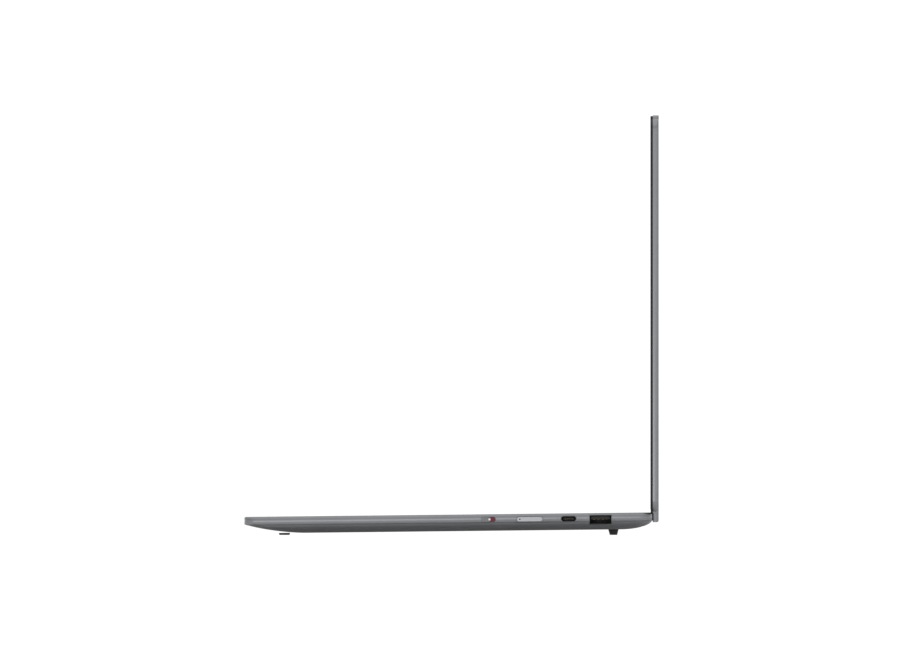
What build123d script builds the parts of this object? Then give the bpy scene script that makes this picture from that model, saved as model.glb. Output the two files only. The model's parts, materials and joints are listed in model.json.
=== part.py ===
from build123d import *
import os
from math import cos, radians, sin, sqrt

# A clamshell laptop computer with a drop hinge, modelled with its lid upright.
#
# Part frame: +X is the user's right, +Y the rear, +Z up. The origin is the bottom
# centre of the whole object as it stands open on its feet. Lengths are millimetres.
#
# Base frame: the base and all in it are drawn level, with Y measured rearwards from
# the front tip and Z = 0 on the deck, and are then tilted, because the rear foot is
# the taller one. Lid frame: origin on the hinge axis, Y rearwards, Z up the lid.

# ---------------------------------------------------------------- driving sizes
# Base
base_width = 343.8
base_length = 235.5
base_thickness = 9.6
deck_front_height = 10.42     # of the deck's front tip above the table
base_tilt = 0.63              # degrees, rising to the rear
corner_radius = 7.0
deck_thickness = 1.2
deck_edge_radius = 0.9
wall = 2.2
seam_drop = 7.0               # the seam between top case and bottom cover
cover_floor = 0.8
# The underside comes in below the upright wall on a quarter ellipse that starts on a
# slant. For the front, the sides and the rear: how far in it comes, and how much of
# that is the slant.
wall_drop = 4.4
underside_reach = {"front": 36.0, "side": 20.0, "rear": 18.0}
underside_slant = {"front": 0.45, "side": 0.08, "rear": 0.04}
underside_steps = 8
cavity_floors = [5.2, seam_drop, 7.8, base_thickness - cover_floor]

# Hinge
axis_drop = 2.35              # hinge axis below the deck
axis_inset = 3.4              # hinge axis in front of the base's rear edge
nose_radius = 3.5             # round rear edge of the base in the hinge notch
corner_block = 13.9           # length of the full rear edge left at each corner
notch_depth = 3.0             # in front of the hinge axis
hinge_inset = 18.0            # middle of each hinge from the end of the notch
knuckle_width = 9.0
knuckle_wall = 1.0
pin_radius = 1.1
running_fit = 0.05
hinge_gap = 0.3
ear_width = 4.6

# Lid
closed_gap = 0.25             # from the glass to the deck, with the lid closed
lid_setback = 0.35            # of the closed lid's front edge behind the base's
glass_thickness = 0.7
bezel_thickness = 0.5
bezel_inset = 0.35            # of the black layer's edge from the metal's
gasket_width = 0.5
gasket_rise = 0.15            # in front of the glass
shell_thickness = 3.43
lid_back_skin = 1.0
lid_rim = 2.2
lid_corner_radius = 6.0
lid_edge_radius = 1.2
glass_start = 4.2             # lower end of the black layer above the axis
strip_drop = 3.3              # lower end of the lid's hinge strip below the axis
lid_corner_lift = 2.85        # lower end of the lid's corners above the axis
camera_bar_width = 74.0
camera_bar_rise = 2.1
panel_width = 336.4
panel_height = 213.0
panel_thickness = 2.2
panel_start = 9.0

# Keyboard
key_pitch_x = 19.05
key_pitch_y = 18.6
function_pitch_y = 12.4
key_gap = 3.0
key_thickness = 1.2
key_recess = 0.2
key_travel = 1.3
key_radius = 1.6
keyboard_rear_margin = 21.0
units_per_row = 15

# Touchpad
touchpad_width = 135.0
touchpad_length = 84.0
touchpad_front = 11.0
touchpad_thickness = 1.1
touchpad_recess = 0.1

slip = 0.3                    # clearance round a part that moves in an opening
seat = 0.05                   # clearance round a part that is fixed in an opening

# Right side, each place measured forwards from the rear edge and down from the deck
shutter_place, shutter_drop = 94.5, 3.0
slot_length, slot_height, slot_depth = 8.4, 2.9, 1.2
slider_length = 5.2
power_place, power_drop = 70.7, 3.1
power_length, power_height, power_depth = 15.2, 2.9, 1.9
charge_place, charge_drop = 54.6, 2.7
charge_width, charge_height = 0.5, 2.6
type_c_place, type_c_drop = 48.2, 3.1
type_a_place, type_a_drop = 29.8, 3.75
type_c_size = (8.6, 2.9, 8.0)      # opening length, opening height, depth
type_a_size = (12.5, 4.9, 14.0)
video_size = (14.0, 4.6, 11.0)
socket_wall = 0.3
# Left side
video_place, left_c_places, jack_place, left_drop = 32.5, (51.5, 67.0), 137.5, 3.4
jack_bore, jack_depth, jack_body = 1.78, 13.0, 5.6

# Feet
front_foot_y, front_foot_top, front_foot_bottom, front_foot_short = 23.1, 6.5, 4.3, 91.8
rear_foot_place, rear_foot_top, rear_foot_bottom, rear_foot_short = 22.4, 6.0, 4.1, 79.8

# Speakers and the openings in the deck over them
speaker_side, speaker_width = 8.4, 10.5       # from the base's side, and across
speaker_rear, speaker_length = 61.5, 62.0     # from the rear edge, and along
grille_margin = 0.6

# Inside
screw_side = 22.9                             # from the base's side
screw_head_radius, screw_shank_radius, boss_radius = 2.0, 0.8, 2.6
battery_front, battery_length, cell_width, cell_pitch = 47.0, 55.0, 70.0, 72.6
fan_rear, fan_size = 57.5, 58.0
impeller_radius, hub_radius, shaft_radius, blade_count = 24.0, 9.0, 1.0, 21
fin_pitch, fin_thickness, fin_row, fin_rear, fin_depth = 3.0, 0.4, 49.0, 11.5, 14.5
pipe_width, pipe_thickness = 8.0, 1.2
board_rear, board_length, board_width, board_thickness = 29.5, 78.0, 144.0, 0.8
bracket_thickness = 0.75
stack_gap = 0.15              # between pieces that lie over one another

# ---------------------------------------------------------------- worked out
tilt = radians(base_tilt)
axis_y = base_length - axis_inset
display_plane = closed_gap + axis_drop
bezel_plane = display_plane + glass_thickness
shell_plane = bezel_plane + bezel_thickness
lid_back_plane = shell_plane + shell_thickness
lid_top = base_length - axis_inset - lid_setback
lid_edge = lid_top - camera_bar_rise
cover_inside = -(base_thickness - cover_floor)
cap_bottom = -key_recess - key_thickness
membrane_top = cap_bottom - key_travel - 0.1
membrane_thickness = 0.3
tray_top = membrane_top - membrane_thickness
tray_thickness = 0.5
keyboard_width = units_per_row * key_pitch_x
keyboard_length = 5 * key_pitch_y + function_pitch_y
keyboard_rear = base_length - keyboard_rear_margin
keyboard_front = keyboard_rear - keyboard_length
tray_bottom = tray_top - tray_thickness
bracket_top = tray_bottom - stack_gap
bracket_bottom = bracket_top - bracket_thickness
fan_top = bracket_bottom - 0.2
fan_height = fan_top - cover_inside - 0.2
pipe_bottom = cover_inside + 0.45
pipe_top = pipe_bottom + pipe_thickness
board_bottom = pipe_top + 1.25
pad_tray_top = -touchpad_recess - touchpad_thickness - 0.8
pad_tray_bottom = pad_tray_top - 0.5
battery_top = pad_tray_bottom - 0.6

notch_half_width = base_width / 2 - corner_block
hinge_x = notch_half_width - hinge_inset
knuckle_radius = pin_radius + knuckle_wall
fin_outer = hinge_x - 13.0
fin_inner = fin_outer - fin_row
fan_x = fin_outer - 21.0
fan_y = base_length - fan_rear
shutter_y = base_length - shutter_place
power_y = base_length - power_place
charge_y = base_length - charge_place
type_c_y = base_length - type_c_place
type_a_y = base_length - type_a_place
video_y = base_length - video_place
left_c_ys = [base_length - place for place in left_c_places]
jack_y = base_length - jack_place
rear_foot_y = base_length - rear_foot_place
screw_x = base_width / 2 - screw_side
screw_places = [(100.0, 40.0), (screw_x, 45.0), (screw_x, base_length - 113.5),
                (screw_x, base_length - 39.5)]
# half the length of the rear edge that is open for the hinges and all between them
hinge_zone = hinge_x + knuckle_width / 2 + hinge_gap + ear_width + 1.1
# the hinge axis behind the front tip, and the tip placed so that the object is centred
axis_reach = axis_y * cos(tilt) + axis_drop * sin(tilt)
front_tip_y = -(axis_reach + lid_back_plane) / 2
hinge_y = front_tip_y + axis_reach
hinge_z = deck_front_height + axis_y * sin(tilt) - axis_drop * cos(tilt)


# ---------------------------------------------------------------- helpers
def on_base(shape):
    """Base frame to part frame."""
    return Pos(0, front_tip_y, deck_front_height) * Rot(base_tilt, 0, 0) * shape


def on_lid(shape):
    """Lid frame to part frame."""
    return Pos(0, hinge_y, hinge_z) * shape


def block(x0, x1, y0, y1, z0, z1):
    """A box given by its lowest and highest corners."""
    middle = Pos((x0 + x1) / 2, (y0 + y1) / 2, (z0 + z1) / 2)
    return middle * Box(abs(x1 - x0), abs(y1 - y0), abs(z1 - z0))


def slab(x0, x1, y0, y1, z0, z1, radius):
    """A box with its upright corners rounded."""
    outline = Pos((x0 + x1) / 2, (y0 + y1) / 2, z0) * RectangleRounded(x1 - x0, y1 - y0, radius)
    return extrude(outline, amount=z1 - z0, dir=(0, 0, 1))


def panel(x0, x1, z0, z1, y0, y1, radius):
    """A plate that stands upright, facing Y, with its four corners rounded."""
    flat = slab(x0, x1, z0, z1, -y1, -y0, radius)
    return Rot(90, 0, 0) * flat


def rod(x0, x1, y, z, radius):
    """A cylinder along X."""
    return Pos((x0 + x1) / 2, y, z) * Rot(0, 90, 0) * Cylinder(radius, x1 - x0)


def pill(x0, x1, y, z, length, height):
    """A rounded slot shape, long in Y, through the side wall along X."""
    face = Plane(origin=(x0, y, z), x_dir=(0, 1, 0), z_dir=(1, 0, 0)) * SlotOverall(length, height)
    return extrude(face, amount=x1 - x0)


def both_sides(shape):
    """The shape and its mirror image in the YZ plane."""
    return [shape, mirror(shape, about=Plane.YZ)]


def joined(shapes):
    """Several shapes fused into one."""
    first, *rest = shapes
    for other in rest:
        first = first + other
    return first


def inset_at(drop):
    """How far the skin has come in at a drop below the deck: front, side, rear."""
    rise = min(max((drop - wall_drop) / (base_thickness - wall_drop), 0.0), 1.0)
    quarter = 1 - sqrt(1 - rise**2)
    insets = []
    for end in ("front", "side", "rear"):
        slant = underside_slant[end]
        insets.append(underside_reach[end] * (slant * rise + (1 - slant) * quarter))
    return insets


def base_outline(front, side, rear, drop, extra=0.0):
    """A level section of the base, moved in from the plan outline."""
    width = base_width - 2 * (side + extra)
    depth = base_length - front - rear - 2 * extra
    radius = max(corner_radius + 0.45 * side - extra, 1.5)
    middle_y = (front + base_length - rear) / 2
    return Pos(0, middle_y, -drop) * RectangleRounded(width, depth, radius)


def save(name, shape):
    """Writes one node; a list is a group of separate solids."""
    if isinstance(shape, (list, tuple)):
        solids = [solid for item in shape for solid in item.solids()]
        shape = Compound(children=solids)
    export_step(shape, os.path.join("parts", name + ".step"))
    print(name, len(shape.solids()), round(sum(s.volume for s in shape.solids())))


# ---------------------------------------------------------------- base shells
def outer_base():
    """The base's outer shape, solid: an upright wall over a lofted underside."""
    upright = extrude(base_outline(0, 0, 0, 0), amount=wall_drop, dir=(0, 0, -1))
    rim = upright.faces().sort_by(Axis.Z)[-1].edges()
    upright = fillet(rim, deck_edge_radius)
    sections = []
    for step in range(underside_steps + 1):
        angle = radians(90 * step / underside_steps)
        drop = wall_drop + (base_thickness - wall_drop) * sin(angle)
        sections.append(base_outline(*inset_at(drop), drop))
    return upright + loft(sections)


def cavity():
    """The space inside the shells, in steps that follow the underside."""
    steps = []
    start = deck_thickness
    for floor in cavity_floors:
        front, side, rear = inset_at(floor)
        face = base_outline(front, side, rear, start, extra=wall)
        steps.append(extrude(face, amount=floor - start, dir=(0, 0, -1)))
        start = floor
    return joined(steps)


def nose_bar(half):
    """The base's rounded rear edge in the notch: flat on top, round about the hinge axis."""
    front = axis_y - notch_depth
    low = -axis_drop - nose_radius
    rear_top = axis_y + sqrt(nose_radius**2 - axis_drop**2)
    outline = Curve() + [
        Line((front, 0), (rear_top, 0)),
        ThreePointArc((rear_top, 0), (axis_y + nose_radius, -axis_drop), (axis_y, low)),
        Line((axis_y, low), (front, low)),
        Line((front, low), (front, 0)),
    ]
    face = Plane.YZ * make_face(outline)
    return Pos(-half, 0, 0) * extrude(face, amount=2 * half, dir=(1, 0, 0))


def notch_cut():
    """All that is cut away at the rear edge so that the lid's strip can turn."""
    front = axis_y - notch_depth
    rear = base_length + 1
    low = -base_thickness - 1
    swept = block(-notch_half_width, notch_half_width, front, rear, low, 1)
    hinges = block(-hinge_zone, hinge_zone, front, rear, low, 1)
    return (swept - nose_bar(notch_half_width)) + hinges


def port_cuts():
    """Openings through the side walls, each the size of what sits in it."""
    cuts = []
    side = base_width / 2
    deep = side - 18
    for y, drop, size in ((type_c_y, type_c_drop, type_c_size),):
        cuts.append(pill(deep, side + 1, y, -drop, size[0] + 2 * (socket_wall + seat),
                         size[1] + 2 * (socket_wall + seat)))
    a_half = type_a_size[0] / 2 + socket_wall + seat
    a_rise = type_a_size[1] / 2 + socket_wall + seat
    cuts.append(block(deep, side + 1, type_a_y - a_half, type_a_y + a_half,
                      -type_a_drop - a_rise, -type_a_drop + a_rise))
    cuts.append(pill(deep, side + 1, power_y, -power_drop,
                     power_length + 0.24, power_height + 0.24))
    cuts.append(pill(side - slot_depth, side + 1, shutter_y, -shutter_drop,
                     slot_length, slot_height))
    cuts.append(block(deep, side + 1, charge_y - charge_width / 2, charge_y + charge_width / 2,
                      -charge_drop - charge_height / 2, -charge_drop + charge_height / 2))
    v_half = video_size[0] / 2 + socket_wall + seat
    v_rise = video_size[1] / 2 + socket_wall + seat
    cuts.append(block(-side - 1, -deep, video_y - v_half, video_y + v_half,
                      -left_drop - v_rise, -left_drop + v_rise))
    for y in left_c_ys:
        cuts.append(pill(-side - 1, -deep, y, -left_drop, type_c_size[0] + 2 * (socket_wall + seat),
                         type_c_size[1] + 2 * (socket_wall + seat)))
    cuts.append(rod(-side - 1, -side + wall + 1, jack_y, -left_drop, jack_bore + 0.1))
    cuts.append(block(-side + 1.5, -deep, jack_y - jack_body / 2 - seat,
                      jack_y + jack_body / 2 + seat, -left_drop - jack_body / 2 - seat,
                      -left_drop + jack_body / 2 - 0.7))
    return cuts


def screw_posts(radius, z0, z1):
    """One upright cylinder at each screw, on both sides."""
    posts = []
    for x, y in screw_places:
        posts += both_sides(Pos(x, y, (z0 + z1) / 2) * Cylinder(radius, z1 - z0))
    return posts


outer = outer_base()
hollow = cavity()
notch = notch_cut()
corner_fill = both_sides(block(notch_half_width - 7, base_width, axis_y - 8, base_length + 1,
                               -base_thickness - 1, 0.5))
hollow = hollow - joined(corner_fill)


def top_case():
    shell = outer & block(-base_width, base_width, -1, base_length + 1, -seam_drop, 1)
    shell = shell - hollow
    margin = 0.6
    well = slab(-keyboard_width / 2 - margin, keyboard_width / 2 + margin,
                keyboard_front - margin, keyboard_rear + margin, -deck_thickness - 1, 1, 2.4)
    pad = slab(-touchpad_width / 2 - slip, touchpad_width / 2 + slip, touchpad_front - slip,
               touchpad_front + touchpad_length + slip, -deck_thickness - 1, 1, 3.0 + slip)
    shell = shell - well - pad - notch
    shell = shell + screw_posts(boss_radius, cover_inside, -deck_thickness)
    shell = shell - screw_posts(screw_shank_radius + seat, cover_inside - 1, -3.4)
    return shell - port_cuts() - speaker_boxes(grille_margin, -deck_thickness - 1, 1)


def bottom_cover():
    lower = block(-base_width, base_width, -1, base_length + 1, -base_thickness - 1, -seam_drop)
    shell = (outer & lower) - hollow - notch
    heads = screw_posts(screw_head_radius + seat, -base_thickness - 1, -base_thickness + 0.5)
    shanks = screw_posts(screw_shank_radius + seat, -base_thickness - 1, cover_inside + 1)
    slots = []
    for row in range(11):
        y = fan_y - 20 + 4 * row
        half = 22 - 0.45 * abs(row - 5)
        slots += both_sides(pill_up(fan_x, y, 2 * half, 1.7))
    return shell - heads - shanks - slots


def pill_up(x, y, length, width):
    """A rounded slot through the floor, long in X."""
    face = Pos(x, y, -base_thickness - 1) * SlotOverall(length, width)
    return extrude(face, amount=cover_floor + 2, dir=(0, 0, 1))


def bottom_screws():
    screws = []
    for x, y in screw_places:
        head = Pos(x, y, -base_thickness + 0.25) * Cylinder(screw_head_radius, 0.5)
        shank_top = -3.6
        shank_length = shank_top + base_thickness - 0.5
        shank = Pos(x, y, shank_top - shank_length / 2) * Cylinder(screw_shank_radius, shank_length)
        drive = Pos(x, y, -base_thickness + 0.1) * Cylinder(0.75, 0.3)
        screws += both_sides(head + shank - drive)
    return screws


def foot(y, top_width, bottom_width, shortfall):
    """A long rubber foot, flared towards the cover, cut level at the table."""
    length = base_width - shortfall
    reach = base_thickness + 3.5
    rise = 3.6
    half = top_width / 2
    slope = (top_width - bottom_width) / 2
    corners = [(y - half, -reach + rise), (y + half, -reach + rise),
               (y + half - slope, -reach), (y - half + slope, -reach)]
    face = Plane.YZ * make_face(Polyline(*corners, close=True))
    strip = Pos(-length / 2, 0, 0) * extrude(face, amount=length, dir=(1, 0, 0))
    strip = on_base(strip - outer)
    above = block(-base_width, base_width, -base_length, base_length, 0, 30)
    return strip & above


# ---------------------------------------------------------------- keyboard
def key_cap(x0, x1, y0, y1):
    """One key cap between its cell's edges."""
    half_gap = key_gap / 2
    cap = slab(x0 + half_gap, x1 - half_gap, y0 + half_gap, y1 - half_gap,
               cap_bottom, -key_recess, key_radius)
    top = cap.faces().sort_by(Axis.Z)[-1].edges()
    return chamfer(top, 0.25)


def key_run(first_unit, widths, y0, y1):
    """Key caps side by side, from a place counted in key widths."""
    caps = []
    x = -keyboard_width / 2 + first_unit * key_pitch_x
    for width in widths:
        caps.append(key_cap(x, x + width * key_pitch_x, y0, y1))
        x += width * key_pitch_x
    return caps


def row_ends(row):
    """Front and rear edges of a row, counted from the space bar's row."""
    front = keyboard_front + row * key_pitch_y
    rear = front + (key_pitch_y if row < 5 else function_pitch_y)
    return front, rear


def keys():
    """Every key node, by name. Rows of like keys share one node."""
    modifiers, letters_low, letters_home, letters_up, numbers, function = map(row_ends, range(6))
    middle = (modifiers[0] + modifiers[1]) / 2
    overlap = key_gap / 2 - 0.4
    nodes = {
        "escape_key": key_run(0, [1], *function),
        "function_keys": key_run(1, [1] * 14, *function),
        "number_keys": key_run(0, [1] * 13, *numbers),
        "backspace_key": key_run(13, [2], *numbers),
        "tab_key": key_run(0, [1.5], *letters_up),
        "upper_letter_keys": key_run(1.5, [1] * 12 + [1.5], *letters_up),
        "caps_lock_key": key_run(0, [1.75], *letters_home),
        "home_letter_keys": key_run(1.75, [1] * 11, *letters_home),
        "enter_key": key_run(12.75, [2.25], *letters_home),
        "left_shift_key": key_run(0, [2.25], *letters_low),
        "lower_letter_keys": key_run(2.25, [1] * 10, *letters_low),
        "right_shift_key": key_run(12.25, [2.75], *letters_low),
        "modifier_keys": key_run(0, [1.25, 1, 1, 1.25], *modifiers) + key_run(
            10, [1, 1], *modifiers),
        "space_bar": key_run(4.5, [5.5], *modifiers),
        "left_arrow_key": key_run(12, [1], modifiers[0], middle + overlap),
        "down_arrow_key": key_run(13, [1], modifiers[0], middle + overlap),
        "up_arrow_key": key_run(13, [1], middle - overlap, modifiers[1]),
        "right_arrow_key": key_run(14, [1], modifiers[0], middle + overlap),
    }
    return nodes


def keyboard_tray():
    lip = 2.6
    half = keyboard_width / 2 + lip
    tray = block(-half, half, keyboard_front - lip, keyboard_rear + lip,
                 tray_bottom, -deck_thickness)
    inside = block(-half + 1.6, half - 1.6, keyboard_front - lip + 1.6, keyboard_rear + lip - 1.6,
                   tray_top, 0)
    return tray - inside


def key_membrane():
    half = keyboard_width / 2 + 0.5
    return block(-half, half, keyboard_front - 0.5, keyboard_rear + 0.5,
                 membrane_top - membrane_thickness, membrane_top)


# ---------------------------------------------------------------- touchpad
def touchpad_plate():
    plate = slab(-touchpad_width / 2, touchpad_width / 2, touchpad_front,
                 touchpad_front + touchpad_length, -touchpad_recess - touchpad_thickness,
                 -touchpad_recess, 3.0)
    return chamfer(plate.faces().sort_by(Axis.Z)[-1].edges(), 0.15)


def touchpad_frame():
    lip = 3.4
    half = touchpad_width / 2 + lip
    front = touchpad_front - lip
    rear = touchpad_front + touchpad_length + lip
    tray = block(-half, half, front, rear, pad_tray_bottom, -deck_thickness)
    inside = block(-half + 2, half - 2, front + 2, rear - 2, pad_tray_top, 0)
    return tray - inside


# ---------------------------------------------------------------- inside the base
def fan_housing():
    """Two flat fan housings, open to the fins at their rear."""
    half = fan_size / 2
    body = block(fan_x - half, fan_x + half, fan_y - half, fan_y + half,
                 fan_top - fan_height, fan_top)
    chamber = Pos(fan_x, fan_y, fan_top - fan_height / 2) * Cylinder(
        impeller_radius + 1.2, fan_height - 1.0)
    outlet = block(fan_x - impeller_radius, fan_x + impeller_radius, fan_y, fan_y + half + 1,
                   fan_top - fan_height + 0.5, fan_top - 0.5)
    inlet = Pos(fan_x, fan_y, fan_top - fan_height) * Cylinder(17.0, 1.2)
    stay = block(fan_x - 18, fan_x + 18, fan_y - 2, fan_y + 2, fan_top - fan_height,
                 fan_top - fan_height + 0.5)
    post = Pos(fan_x, fan_y, fan_top - fan_height / 2) * Cylinder(shaft_radius, fan_height)
    return both_sides((body - chamber - outlet - inlet) + stay + post)


def fan_impeller():
    """A hub and its blades, turning on the housing's post."""
    height = fan_height - 1.5
    middle = Pos(0, 0, fan_top - fan_height / 2)
    hub = middle * Cylinder(hub_radius, height)
    ring = middle * (Cylinder(impeller_radius, 0.5) - Cylinder(impeller_radius - 1.0, 0.5))
    blades = []
    length = impeller_radius - hub_radius + 0.8
    for index in range(blade_count):
        turn = Rot(0, 0, index * 360 / blade_count)
        blade = Pos(hub_radius - 0.6 + length / 2, 0, 0) * Box(length, 0.6, height)
        blades.append(middle * turn * blade)
    rotor = hub + ring + blades
    return rotor - middle * Cylinder(shaft_radius + running_fit, height + 1)


def fin_stacks():
    """Thin upright fins on a plate, behind each fan."""
    y1 = base_length - fin_rear
    y0 = y1 - fin_depth
    z0, z1 = pipe_top + 0.05, fan_top
    fins = [block(fin_inner, fin_outer, y0, y1, z0, z0 + 0.3)]
    count = int((fin_outer - fin_inner - fin_thickness) / fin_pitch) + 1
    for index in range(count):
        x = fin_inner + index * fin_pitch
        fins.append(block(x, x + fin_thickness, y0, y1, z0, z1))
    return both_sides(joined(fins))


def heat_pipes():
    """A flat pipe from the processor to each fin stack."""
    near = fan_y - 2
    far = base_length - fin_rear - fin_depth / 2
    route = FilletPolyline((4, near), (34, near), (66, far), (fin_outer, far), radius=12)
    pipe = extrude(trace(route, line_width=pipe_width), amount=pipe_thickness)
    return both_sides(Pos(0, 0, pipe_bottom) * pipe)


def mainboard():
    y1 = base_length - board_rear
    half = board_width / 2
    return slab(-half, half, y1 - board_length, y1, board_bottom, board_bottom + board_thickness, 3)


def on_board(x0, x1, y0, y1, height):
    """A package on the board's underside, placed from the board's front edge."""
    front = base_length - board_rear - board_length
    return block(x0, x1, front + y0, front + y1, board_bottom - height, board_bottom)


def speakers():
    """A closed box under each grille."""
    return speaker_boxes(0.0, -6.4, -deck_thickness - 0.3)


def speaker_boxes(margin, z0, z1):
    """The speakers' outline on both sides, drawn in by a margin."""
    x1 = base_width / 2 - speaker_side
    y1 = base_length - speaker_rear
    return both_sides(slab(x1 - speaker_width + margin, x1 - margin, y1 - speaker_length + margin,
                           y1 - margin, z0, z1, 2.5))


def battery_pack():
    """Four cells side by side and the strip that joins them."""
    count = 4
    half = ((count - 1) * cell_pitch + cell_width) / 2
    rear = battery_front + battery_length
    cells = []
    for index in range(count):
        x = -half + index * cell_pitch
        cells.append(slab(x, x + cell_width, battery_front, rear, cover_inside + 0.2,
                          battery_top, 2.0))
    strip = block(-half, half, rear, rear + 2.5, battery_top - 3.5, battery_top - 1.3)
    return joined(cells + [strip])


# ---------------------------------------------------------------- sockets and controls
def trimmed(shape, side):
    """Keeps a socket behind the curved wall it opens through."""
    return shape & (Pos(-0.35 * side, 0, 0) * outer)


def pill_socket(side, y, drop):
    """A flat oval socket with a centre tongue, opening sideways."""
    length, height, depth = type_c_size
    outside = base_width / 2 + 1
    back = base_width / 2 - depth
    shell = pill(back, outside, y, -drop, length + 2 * socket_wall, height + 2 * socket_wall)
    hole = pill(back + 0.6, outside + 1, y, -drop, length, height)
    tongue = block(back + 0.3, base_width / 2 - 1.6, y - 3.1, y + 3.1, -drop - 0.35, -drop + 0.35)
    socket = (shell - hole) + tongue
    if side < 0:
        socket = mirror(socket, about=Plane.YZ)
    return trimmed(socket, side)


def box_socket(side, y, drop, size, tongue_drop, tongue_height):
    """A rectangular socket with a tongue, opening sideways."""
    length, height, depth = size
    outside = base_width / 2 + 1
    back = base_width / 2 - depth
    half = length / 2 + socket_wall
    rise = height / 2 + socket_wall
    shell = block(back, outside, y - half, y + half, -drop - rise, -drop + rise)
    hole = block(back + 0.6, outside + 1, y - length / 2, y + length / 2,
                 -drop - height / 2, -drop + height / 2)
    tongue = block(back + 0.3, base_width / 2 - 2.0, y - length / 2 + 0.8, y + length / 2 - 0.8,
                   -drop - tongue_drop - tongue_height / 2, -drop - tongue_drop + tongue_height / 2)
    socket = (shell - hole) + tongue
    if side < 0:
        socket = mirror(socket, about=Plane.YZ)
    return trimmed(socket, side)


def headphone_jack():
    x0 = -base_width / 2 + 1.6
    half = jack_body / 2
    body = block(x0, x0 + jack_depth, jack_y - half, jack_y + half,
                 -left_drop - half, -left_drop + half - 0.8)
    return body - rod(x0 - 1, x0 + jack_depth - 1.0, jack_y, -left_drop, jack_bore)


def power_button():
    """A flush pill with a pinhole for its light near the front end."""
    face_x = base_width / 2 - 0.08
    button = pill(face_x - power_depth, face_x, power_y, -power_drop, power_length, power_height)
    outer_face = button.faces().sort_by(Axis.X)[-1]
    button = chamfer(outer_face.edges(), 0.15)
    pinhole = rod(face_x - 0.4, face_x + 1, power_y - power_length / 2 + 1.9, -power_drop, 0.42)
    return button - pinhole


def shutter_slider():
    """The slider at the front end of its slot, with a finger groove."""
    face_x = base_width / 2 - 0.25
    inner_x = base_width / 2 - slot_depth + 0.25
    y = shutter_y - slot_length / 2 + 0.15 + slider_length / 2
    slider = pill(inner_x, face_x, y, -shutter_drop, slider_length, slot_height - 0.2)
    for step in (-0.9, 0.0, 0.9):
        groove = block(face_x - 0.2, face_x + 1, y + step - 0.15, y + step + 0.15,
                       -shutter_drop - 0.9, -shutter_drop + 0.9)
        slider = slider - groove
    return slider


def shutter_mark():
    """The coloured mark on the slot's floor that the slider uncovers."""
    x0 = base_width / 2 - slot_depth
    y1 = shutter_y + slot_length / 2
    mark = pill(x0, x0 + 0.12, shutter_y, -shutter_drop, slot_length - 0.1, slot_height - 0.1)
    return mark & block(x0, x0 + 1, y1 - 3.0, y1, -shutter_drop - 3, -shutter_drop + 3)


def charge_light():
    side = base_width / 2
    return block(side - 4, side - 0.06, charge_y - charge_width / 2 + 0.03,
                 charge_y + charge_width / 2 - 0.03, -charge_drop - charge_height / 2 + 0.03,
                 -charge_drop + charge_height / 2 - 0.03)


# ---------------------------------------------------------------- hinges
def hinge_bracket():
    """Two ears that hold the pin, on a plate screwed under the deck."""
    reach = knuckle_width / 2 + hinge_gap
    ears = []
    for x in (hinge_x - reach - ear_width, hinge_x + reach):
        eye = rod(x, x + ear_width, axis_y, -axis_drop, knuckle_radius)
        leg = block(x, x + ear_width, axis_y - 5.0, axis_y, bracket_bottom, -axis_drop - 0.25)
        ears += [eye, leg]
    x0 = hinge_x - reach - ear_width
    x1 = hinge_x + reach + ear_width
    plate = block(x0, x1, axis_y - 26.0, axis_y - 4.0, bracket_bottom, bracket_top)
    bracket = joined([plate] + ears)
    bore = rod(x0 - 1, x1 + 1, axis_y, -axis_drop, pin_radius + 0.01)
    return both_sides(bracket - bore)


def hinge_pin():
    reach = knuckle_width / 2 + hinge_gap + ear_width
    return both_sides(rod(hinge_x - reach, hinge_x + reach, axis_y, -axis_drop, pin_radius))


def hinge_arm():
    """A knuckle on the pin, a neck, and a plate set into the lid's strip."""
    half = knuckle_width / 2
    knuckle = rod(hinge_x - half, hinge_x + half, 0, 0, knuckle_radius)
    neck = block(hinge_x - half, hinge_x + half, 0, shell_plane + 0.4, -1.3, 1.3)
    plate = block(hinge_x - 9, hinge_x + 9, shell_plane + 0.05, shell_plane + 1.8, -1.8, 8.0)
    arm = knuckle + neck + plate
    bore = rod(hinge_x - half - 1, hinge_x + half + 1, 0, 0, pin_radius + running_fit)
    return both_sides(arm - bore)


def rear_vent_grille():
    """The round rear edge between the hinges, with slots for the hot air."""
    half = hinge_x - knuckle_width / 2 - hinge_gap - ear_width - 0.4
    body = nose_bar(half)
    apron = block(-half, half, axis_y - notch_depth, axis_y - notch_depth + 1.0,
                  -7.9, -axis_drop)
    body = body + apron
    slots = []
    pitch = 9.0
    count = int(half / pitch)
    for index in range(count):
        x = pitch * (index + 0.5)
        slots += both_sides(block(x - 3.4, x + 3.4, axis_y - notch_depth - 1, base_length + 1,
                                  -7.4, -6.2))
        slots += both_sides(block(x - 3.4, x + 3.4, axis_y - notch_depth - 1, base_length + 1,
                                  -4.9, -3.4))
    return body - slots


# ---------------------------------------------------------------- lid
half_lid = base_width / 2
strip_half = notch_half_width - 0.5
bar_half = camera_bar_width / 2


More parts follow.
